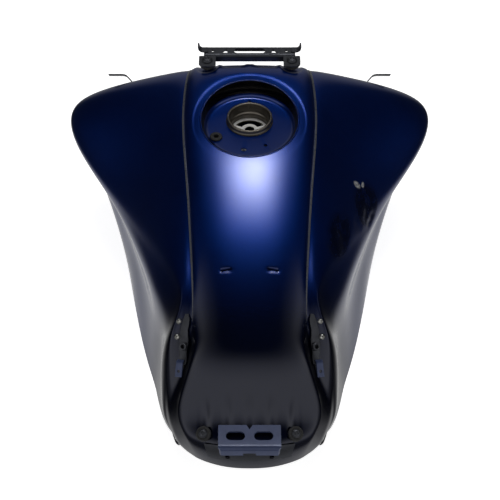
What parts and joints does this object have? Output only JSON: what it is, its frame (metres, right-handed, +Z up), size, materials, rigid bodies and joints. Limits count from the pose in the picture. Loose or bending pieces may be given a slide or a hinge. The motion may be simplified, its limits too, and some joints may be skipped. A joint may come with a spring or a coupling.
{
  "type": "motorcycle fuel tank",
  "caption": "Pressed-steel motorcycle fuel tank with raised spine, flared wings, knee recesses, sunken filler neck, mounting brackets and an in-tank fuel pump unit.",
  "frame": {"origin": "middle of the tank's overall box, on the surface it rests on", "axes": "+X to the rider's right, +Y to the front of the motorcycle, +Z up"},
  "size_m": [0.4684, 0.5142, 0.2571],
  "materials": {
    "tank_paint": "satin metallic dark blue paint on pressed steel",
    "bare_steel": "bare turned steel, slightly dull",
    "blacked_steel": "dark grey coated pressed steel",
    "bracket_paint": "satin blue-grey painted steel",
    "plated_steel": "zinc-plated steel",
    "black_rubber": "moulded black rubber",
    "pump_plastic": "moulded black fuel-proof plastic",
    "pale_plastic": "natural off-white plastic and mesh",
    "pump_case": "satin die-cast and rolled metal"
  },
  "bodies": {
    "tank": {"bottom_pan": "tank_paint", "breather_pipe": "plated_steel", "cap_nut_front": "plated_steel", "cap_nut_rear": "plated_steel", "drain_grommet": "black_rubber", "drain_pipe": "plated_steel", "filler_cup": "tank_paint", "filler_neck": "bare_steel", "front_bolt_left": "plated_steel", "front_bolt_right": "plated_steel", "front_channel": "blacked_steel", "front_damper_left": "black_rubber", "front_damper_right": "black_rubber", "front_hook_left": "blacked_steel", "front_hook_right": "blacked_steel", "front_leg_left": "blacked_steel", "front_leg_right": "blacked_steel", "fuel_outlet": "plated_steel", "level_sender": "pale_plastic", "neck_baffle": "plated_steel", "outer_shell": "tank_paint", "pocket_nut_left": "blacked_steel", "pocket_nut_right": "blacked_steel", "pocket_pin_left_1": "plated_steel", "pocket_pin_left_2": "plated_steel", "pocket_pin_right_1": "plated_steel", "pocket_pin_right_2": "plated_steel", "pocket_plate_left": "blacked_steel", "pocket_plate_right": "blacked_steel", "pocket_tab_left": "bracket_paint", "pocket_tab_right": "bracket_paint", "pressure_regulator": "plated_steel", "pump_bolt_1": "plated_steel", "pump_bolt_2": "plated_steel", "pump_bolt_3": "plated_steel", "pump_bolt_4": "plated_steel", "pump_bolt_5": "plated_steel", "pump_bolt_6": "plated_steel", "pump_bracket": "pump_plastic", "pump_connector": "pale_plastic", "pump_flange": "pump_case", "pump_gasket": "black_rubber", "pump_hose": "black_rubber", "pump_motor": "pump_case", "pump_mount_ring": "plated_steel", "pump_strainer": "pale_plastic", "rear_bolt_left": "plated_steel", "rear_bolt_right": "plated_steel", "rear_bracket": "bracket_paint", "rear_grommet_left": "black_rubber", "rear_grommet_right": "black_rubber", "rear_plate": "blacked_steel", "side_tab_left": "blacked_steel", "side_tab_right": "blacked_steel"},
    "sender_float": {"float_arm": "plated_steel", "level_float": "pump_plastic"},
    "impeller": {"pump_impeller": "pale_plastic"}
  },
  "joints": [
    {"name": "float_swing", "type": "hinge", "parent": "tank", "child": "sender_float", "pos_m": [0.034, -0.1625, 0.05], "axis": [0, -1, 0], "range_deg": [0, 60]},
    {"name": "impeller_spin", "type": "hinge", "parent": "tank", "child": "impeller", "pos_m": [-0.011, -0.1585, 0.031], "axis": [0, 0, 1], "continuous": true}
  ]
}
